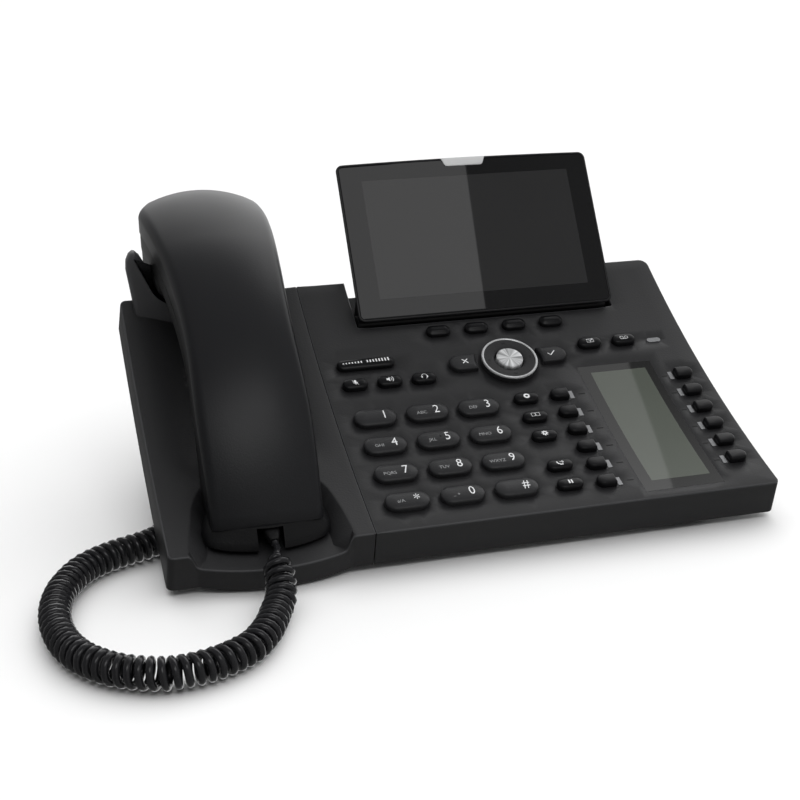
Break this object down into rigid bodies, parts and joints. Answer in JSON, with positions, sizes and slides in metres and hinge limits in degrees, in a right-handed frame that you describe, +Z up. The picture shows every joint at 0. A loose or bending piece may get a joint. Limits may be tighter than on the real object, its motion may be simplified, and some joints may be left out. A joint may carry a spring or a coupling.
{
  "type": "desk ip phone",
  "caption": "Desk IP phone with a corded handset in a cradle, a tilting colour display, a keypad and a label display with line keys on a curved wedge body.",
  "frame": {"origin": "centre of the footprint of the phone without its free cord, on the desk plane", "axes": "+Z up, +Y to the back of the phone, +X to the user's right, handset on the -X side"},
  "size_m": [0.2855, 0.2192, 0.1217],
  "materials": {
    "body_plastic": "fine satin texture, charcoal",
    "handset_plastic": "smooth satin, charcoal",
    "inner_shell_plastic": "matt, darker than the outer shell",
    "inner_plastic": "matt black",
    "key_plastic": "black gloss caps with white printed signs",
    "lens_plastic": "pale translucent plastic",
    "screen_glass": "polished dark cover glass over a panel",
    "ring_metal": "dark ring with a metallised rim",
    "button_metal": "radially brushed",
    "foot_rubber": "matt",
    "screw_steel": "zinc plated",
    "board": "green solder resist",
    "cord_jacket": "glossy black flexible jacket"
  },
  "bodies": {
    "base": {"lower_housing": "body_plastic", "console_cover": "body_plastic", "cradle_cover": "body_plastic", "foot_stand": "body_plastic", "rubber_feet": "foot_rubber", "housing_screws": "screw_steel", "led_lenses": "lens_plastic", "label_display": "screen_glass", "main_circuit_board": "board", "handset_cord": "cord_jacket"},
    "display": {"display_housing": "body_plastic", "display_screen": "screen_glass", "alert_light_lens": "lens_plastic"},
    "handset": {"handset_outer_shell": "handset_plastic", "handset_inner_shell": "inner_shell_plastic", "handset_plug": "inner_plastic"},
    "key_star": {"key_star": "key_plastic"},
    "key_0": {"key_0": "key_plastic"},
    "key_hash": {"key_hash": "key_plastic"},
    "key_7": {"key_7": "key_plastic"},
    "key_8": {"key_8": "key_plastic"},
    "key_9": {"key_9": "key_plastic"},
    "key_4": {"key_4": "key_plastic"},
    "key_5": {"key_5": "key_plastic"},
    "key_6": {"key_6": "key_plastic"},
    "key_1": {"key_1": "key_plastic"},
    "key_2": {"key_2": "key_plastic"},
    "key_3": {"key_3": "key_plastic"},
    "soft_key_1": {"soft_key_1": "key_plastic"},
    "soft_key_2": {"soft_key_2": "key_plastic"},
    "soft_key_3": {"soft_key_3": "key_plastic"},
    "soft_key_4": {"soft_key_4": "key_plastic"},
    "mute_key": {"mute_key": "key_plastic"},
    "speaker_key": {"speaker_key": "key_plastic"},
    "headset_key": {"headset_key": "key_plastic"},
    "cancel_key": {"cancel_key": "key_plastic"},
    "confirm_key": {"confirm_key": "key_plastic"},
    "message_key": {"message_key": "key_plastic"},
    "voicemail_key": {"voicemail_key": "key_plastic"},
    "settings_key": {"settings_key": "key_plastic"},
    "directory_key": {"directory_key": "key_plastic"},
    "dnd_key": {"dnd_key": "key_plastic"},
    "hold_key": {"hold_key": "key_plastic"},
    "transfer_key": {"transfer_key": "key_plastic"},
    "line_key_left_1": {"line_key_left_1": "key_plastic"},
    "line_key_right_1": {"line_key_right_1": "key_plastic"},
    "line_key_left_2": {"line_key_left_2": "key_plastic"},
    "line_key_right_2": {"line_key_right_2": "key_plastic"},
    "line_key_left_3": {"line_key_left_3": "key_plastic"},
    "line_key_right_3": {"line_key_right_3": "key_plastic"},
    "line_key_left_4": {"line_key_left_4": "key_plastic"},
    "line_key_right_4": {"line_key_right_4": "key_plastic"},
    "line_key_left_5": {"line_key_left_5": "key_plastic"},
    "line_key_right_5": {"line_key_right_5": "key_plastic"},
    "line_key_left_6": {"line_key_left_6": "key_plastic"},
    "line_key_right_6": {"line_key_right_6": "key_plastic"},
    "volume_rocker": {"volume_rocker": "key_plastic"},
    "nav_gimbal": {"nav_gimbal": "inner_plastic"},
    "nav_ring": {"nav_ring": "ring_metal"},
    "nav_button": {"nav_button": "button_metal"}
  },
  "joints": [
    {"name": "display_tilt", "type": "hinge", "parent": "base", "child": "display", "pos_m": [0.03495, 0.03793, 0.0584], "axis": [1, 0, 0], "range_deg": [-20, 15]},
    {"name": "handset_lift", "type": "slide", "parent": "base", "child": "handset", "axis": [0, -0.3959, 0.9183], "range_m": [0, 0.09]},
    {"name": "key_star_press", "type": "slide", "parent": "base", "child": "key_star", "axis": [0, 0.2908, -0.9568], "range_m": [0, 0.0012], "stiffness_N_per_m": 250, "springref_m": -0.0008},
    {"name": "key_0_press", "type": "slide", "parent": "base", "child": "key_0", "axis": [0, 0.2908, -0.9568], "range_m": [0, 0.0012], "stiffness_N_per_m": 250, "springref_m": -0.0008},
    {"name": "key_hash_press", "type": "slide", "parent": "base", "child": "key_hash", "axis": [0, 0.2908, -0.9568], "range_m": [0, 0.0012], "stiffness_N_per_m": 250, "springref_m": -0.0008},
    {"name": "key_7_press", "type": "slide", "parent": "base", "child": "key_7", "axis": [0, 0.3212, -0.947], "range_m": [0, 0.0012], "stiffness_N_per_m": 250, "springref_m": -0.0008},
    {"name": "key_8_press", "type": "slide", "parent": "base", "child": "key_8", "axis": [0, 0.3212, -0.947], "range_m": [0, 0.0012], "stiffness_N_per_m": 250, "springref_m": -0.0008},
    {"name": "key_9_press", "type": "slide", "parent": "base", "child": "key_9", "axis": [0, 0.3212, -0.947], "range_m": [0, 0.0012], "stiffness_N_per_m": 250, "springref_m": -0.0008},
    {"name": "key_4_press", "type": "slide", "parent": "base", "child": "key_4", "axis": [0, 0.3514, -0.9362], "range_m": [0, 0.0012], "stiffness_N_per_m": 250, "springref_m": -0.0008},
    {"name": "key_5_press", "type": "slide", "parent": "base", "child": "key_5", "axis": [0, 0.3514, -0.9362], "range_m": [0, 0.0012], "stiffness_N_per_m": 250, "springref_m": -0.0008},
    {"name": "key_6_press", "type": "slide", "parent": "base", "child": "key_6", "axis": [0, 0.3514, -0.9362], "range_m": [0, 0.0012], "stiffness_N_per_m": 250, "springref_m": -0.0008},
    {"name": "key_1_press", "type": "slide", "parent": "base", "child": "key_1", "axis": [0, 0.3812, -0.9245], "range_m": [0, 0.0012], "stiffness_N_per_m": 250, "springref_m": -0.0008},
    {"name": "key_2_press", "type": "slide", "parent": "base", "child": "key_2", "axis": [0, 0.3812, -0.9245], "range_m": [0, 0.0012], "stiffness_N_per_m": 250, "springref_m": -0.0008},
    {"name": "key_3_press", "type": "slide", "parent": "base", "child": "key_3", "axis": [0, 0.3812, -0.9245], "range_m": [0, 0.0012], "stiffness_N_per_m": 250, "springref_m": -0.0008},
    {"name": "soft_key_1_press", "type": "slide", "parent": "base", "child": "soft_key_1", "axis": [0, 0.4657, -0.8849], "range_m": [0, 0.0012], "stiffness_N_per_m": 250, "springref_m": -0.0008},
    {"name": "soft_key_2_press", "type": "slide", "parent": "base", "child": "soft_key_2", "axis": [0, 0.4657, -0.8849], "range_m": [0, 0.0012], "stiffness_N_per_m": 250, "springref_m": -0.0008},
    {"name": "soft_key_3_press", "type": "slide", "parent": "base", "child": "soft_key_3", "axis": [0, 0.4657, -0.8849], "range_m": [0, 0.0012], "stiffness_N_per_m": 250, "springref_m": -0.0008},
    {"name": "soft_key_4_press", "type": "slide", "parent": "base", "child": "soft_key_4", "axis": [0, 0.4657, -0.8849], "range_m": [0, 0.0012], "stiffness_N_per_m": 250, "springref_m": -0.0008},
    {"name": "mute_key_press", "type": "slide", "parent": "base", "child": "mute_key", "axis": [0, 0.4178, -0.9085], "range_m": [0, 0.0012], "stiffness_N_per_m": 250, "springref_m": -0.0008},
    {"name": "speaker_key_press", "type": "slide", "parent": "base", "child": "speaker_key", "axis": [0, 0.4178, -0.9085], "range_m": [0, 0.0012], "stiffness_N_per_m": 250, "springref_m": -0.0008},
    {"name": "headset_key_press", "type": "slide", "parent": "base", "child": "headset_key", "axis": [0, 0.4178, -0.9085], "range_m": [0, 0.0012], "stiffness_N_per_m": 250, "springref_m": -0.0008},
    {"name": "cancel_key_press", "type": "slide", "parent": "base", "child": "cancel_key", "axis": [0, 0.4292, -0.9032], "range_m": [0, 0.0012], "stiffness_N_per_m": 250, "springref_m": -0.0008},
    {"name": "confirm_key_press", "type": "slide", "parent": "base", "child": "confirm_key", "axis": [0, 0.4292, -0.9032], "range_m": [0, 0.0012], "stiffness_N_per_m": 250, "springref_m": -0.0008},
    {"name": "message_key_press", "type": "slide", "parent": "base", "child": "message_key", "axis": [0, 0.4382, -0.8989], "range_m": [0, 0.0012], "stiffness_N_per_m": 250, "springref_m": -0.0008},
    {"name": "voicemail_key_press", "type": "slide", "parent": "base", "child": "voicemail_key", "axis": [0, 0.4382, -0.8989], "range_m": [0, 0.0012], "stiffness_N_per_m": 250, "springref_m": -0.0008},
    {"name": "settings_key_press", "type": "slide", "parent": "base", "child": "settings_key", "axis": [0, 0.3435, -0.9392], "range_m": [0, 0.0012], "stiffness_N_per_m": 250, "springref_m": -0.0008},
    {"name": "directory_key_press", "type": "slide", "parent": "base", "child": "directory_key", "axis": [0, 0.3646, -0.9312], "range_m": [0, 0.0012], "stiffness_N_per_m": 250, "springref_m": -0.0008},
    {"name": "dnd_key_press", "type": "slide", "parent": "base", "child": "dnd_key", "axis": [0, 0.3856, -0.9227], "range_m": [0, 0.0012], "stiffness_N_per_m": 250, "springref_m": -0.0008},
    {"name": "hold_key_press", "type": "slide", "parent": "base", "child": "hold_key", "axis": [0, 0.2881, -0.9576], "range_m": [0, 0.0012], "stiffness_N_per_m": 250, "springref_m": -0.0008},
    {"name": "transfer_key_press", "type": "slide", "parent": "base", "child": "transfer_key", "axis": [0, 0.3097, -0.9508], "range_m": [0, 0.0012], "stiffness_N_per_m": 250, "springref_m": -0.0008},
    {"name": "line_key_left_1_press", "type": "slide", "parent": "base", "child": "line_key_left_1", "axis": [0, 0.3862, -0.9224], "range_m": [0, 0.0012], "stiffness_N_per_m": 250, "springref_m": -0.0008},
    {"name": "line_key_right_1_press", "type": "slide", "parent": "base", "child": "line_key_right_1", "axis": [0, 0.3958, -0.9183], "range_m": [0, 0.0012], "stiffness_N_per_m": 250, "springref_m": -0.0008},
    {"name": "line_key_left_2_press", "type": "slide", "parent": "base", "child": "line_key_left_2", "axis": [0, 0.3667, -0.9303], "range_m": [0, 0.0012], "stiffness_N_per_m": 250, "springref_m": -0.0008},
    {"name": "line_key_right_2_press", "type": "slide", "parent": "base", "child": "line_key_right_2", "axis": [0, 0.3763, -0.9265], "range_m": [0, 0.0012], "stiffness_N_per_m": 250, "springref_m": -0.0008},
    {"name": "line_key_left_3_press", "type": "slide", "parent": "base", "child": "line_key_left_3", "axis": [0, 0.347, -0.9379], "range_m": [0, 0.0012], "stiffness_N_per_m": 250, "springref_m": -0.0008},
    {"name": "line_key_right_3_press", "type": "slide", "parent": "base", "child": "line_key_right_3", "axis": [0, 0.3567, -0.9342], "range_m": [0, 0.0012], "stiffness_N_per_m": 250, "springref_m": -0.0008},
    {"name": "line_key_left_4_press", "type": "slide", "parent": "base", "child": "line_key_left_4", "axis": [0, 0.3271, -0.945], "range_m": [0, 0.0012], "stiffness_N_per_m": 250, "springref_m": -0.0008},
    {"name": "line_key_right_4_press", "type": "slide", "parent": "base", "child": "line_key_right_4", "axis": [0, 0.3369, -0.9415], "range_m": [0, 0.0012], "stiffness_N_per_m": 250, "springref_m": -0.0008},
    {"name": "line_key_left_5_press", "type": "slide", "parent": "base", "child": "line_key_left_5", "axis": [0, 0.3071, -0.9517], "range_m": [0, 0.0012], "stiffness_N_per_m": 250, "springref_m": -0.0008},
    {"name": "line_key_right_5_press", "type": "slide", "parent": "base", "child": "line_key_right_5", "axis": [0, 0.317, -0.9484], "range_m": [0, 0.0012], "stiffness_N_per_m": 250, "springref_m": -0.0008},
    {"name": "line_key_left_6_press", "type": "slide", "parent": "base", "child": "line_key_left_6", "axis": [0, 0.2869, -0.9579], "range_m": [0, 0.0012], "stiffness_N_per_m": 250, "springref_m": -0.0008},
    {"name": "line_key_right_6_press", "type": "slide", "parent": "base", "child": "line_key_right_6", "axis": [0, 0.2969, -0.9549], "range_m": [0, 0.0012], "stiffness_N_per_m": 250, "springref_m": -0.0008},
    {"name": "volume_rocker_tilt", "type": "hinge", "parent": "base", "child": "volume_rocker", "pos_m": [-0.0252, 0.01182, 0.04624], "axis": [0, 0.8987, 0.4386], "range_deg": [-3, 3], "stiffness_Nm_per_rad": 0.06},
    {"name": "nav_up_down", "type": "hinge", "parent": "base", "child": "nav_gimbal", "pos_m": [0.0354, 0.0067, 0.04173], "axis": [1, 0, 0], "range_deg": [-2.5, 2.5], "stiffness_Nm_per_rad": 0.08},
    {"name": "nav_left_right", "type": "hinge", "parent": "nav_gimbal", "child": "nav_ring", "pos_m": [0.0354, 0.0067, 0.04173], "axis": [0, 0.9043, 0.4269], "range_deg": [-2.5, 2.5], "stiffness_Nm_per_rad": 0.08},
    {"name": "nav_button_press", "type": "slide", "parent": "base", "child": "nav_button", "axis": [0, 0.4269, -0.9043], "range_m": [0, 0.0012], "stiffness_N_per_m": 250, "springref_m": -0.0008}
  ]
}
